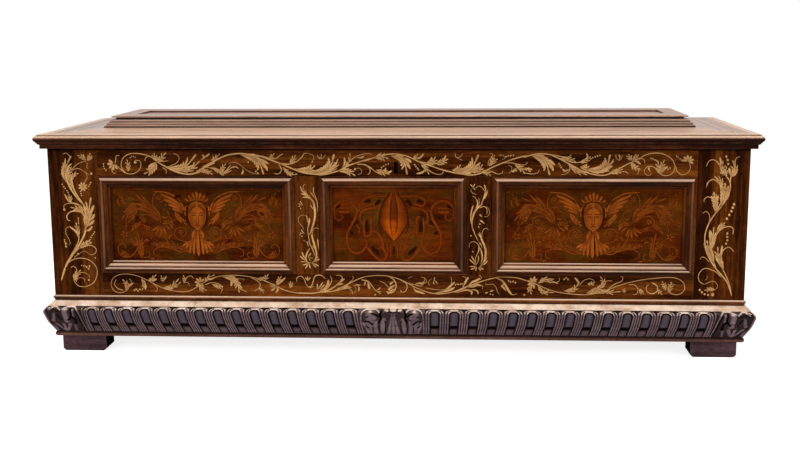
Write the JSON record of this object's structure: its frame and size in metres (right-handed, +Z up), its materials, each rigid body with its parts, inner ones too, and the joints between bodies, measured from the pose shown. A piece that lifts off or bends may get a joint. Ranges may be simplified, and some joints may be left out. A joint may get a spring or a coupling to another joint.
{
  "type": "cassone",
  "caption": "Long Italian Renaissance-style chest with inlaid panels, carved plinth, block feet and a stepped lid hinged at the back.",
  "frame": {"origin": "on the floor, under the middle of the whole chest, hinges included", "axes": "+X along the front to the right as seen from the front, +Y from the front to the back, +Z up"},
  "size_m": [1.9, 0.6, 0.631],
  "materials": {
    "walnut_frame": "waxed walnut, satin",
    "marquetry_panel": "inlaid panel, satin",
    "moulding_walnut": "worn, polished walnut moulding",
    "carved_walnut": "carved walnut, dark stain, satin",
    "lid_walnut": "polished walnut, worn at the edges",
    "plain_board": "unfinished board, matt",
    "foot_walnut": "dark stained walnut, matt",
    "wrought_iron": "blackened wrought iron"
  },
  "bodies": {
    "carcass": {"back_board_lower": "plain_board", "back_board_upper": "plain_board", "base_frame": "moulding_walnut", "end_left_bottom_rail": "walnut_frame", "end_left_front_stile": "walnut_frame", "end_left_panel": "walnut_frame", "end_left_panel_moulding": "moulding_walnut", "end_left_rear_stile": "walnut_frame", "end_left_top_rail": "walnut_frame", "end_right_bottom_rail": "walnut_frame", "end_right_front_stile": "walnut_frame", "end_right_panel": "walnut_frame", "end_right_panel_moulding": "moulding_walnut", "end_right_rear_stile": "walnut_frame", "end_right_top_rail": "walnut_frame", "floor_boards": "plain_board", "foot_front_left": "foot_walnut", "foot_front_right": "foot_walnut", "foot_rear_left": "foot_walnut", "foot_rear_right": "foot_walnut", "front_bottom_rail": "walnut_frame", "front_muntin_left": "walnut_frame", "front_muntin_right": "walnut_frame", "front_panel_centre": "marquetry_panel", "front_panel_left": "marquetry_panel", "front_panel_moulding_centre": "moulding_walnut", "front_panel_moulding_left": "moulding_walnut", "front_panel_moulding_right": "moulding_walnut", "front_panel_right": "marquetry_panel", "front_stile_left": "walnut_frame", "front_stile_right": "walnut_frame", "front_top_rail": "walnut_frame", "hinge_leaf_nails": "wrought_iron", "hinge_leaves": "wrought_iron", "hinge_pins": "wrought_iron", "lock_case": "wrought_iron", "plinth_bead": "moulding_walnut", "plinth_front": "carved_walnut", "plinth_left": "carved_walnut", "plinth_right": "carved_walnut"},
    "lid": {"hinge_strap_nails": "wrought_iron", "hinge_straps": "wrought_iron", "lid_battens": "plain_board", "lid_boards": "plain_board", "lid_border_front": "lid_walnut", "lid_border_left": "lid_walnut", "lid_border_rear": "lid_walnut", "lid_border_right": "lid_walnut", "lid_edge_front": "lid_walnut", "lid_edge_left": "lid_walnut", "lid_edge_right": "lid_walnut", "lock_staple": "wrought_iron", "tier_moulding": "lid_walnut", "upper_frame_front": "lid_walnut", "upper_frame_left": "lid_walnut", "upper_frame_rear": "lid_walnut", "upper_frame_right": "lid_walnut", "upper_panel": "lid_walnut"},
    "lock_bolt": {"lock_bolt": "wrought_iron"}
  },
  "joints": [
    {"name": "lid_hinge", "type": "hinge", "parent": "carcass", "child": "lid", "pos_m": [0, 0.294, 0.559], "axis": [-1, 0, 0], "range_deg": [0, 100]},
    {"name": "lock_bolt_slide", "type": "slide", "parent": "carcass", "child": "lock_bolt", "axis": [1, 0, 0], "range_m": [0, 0.02]}
  ]
}
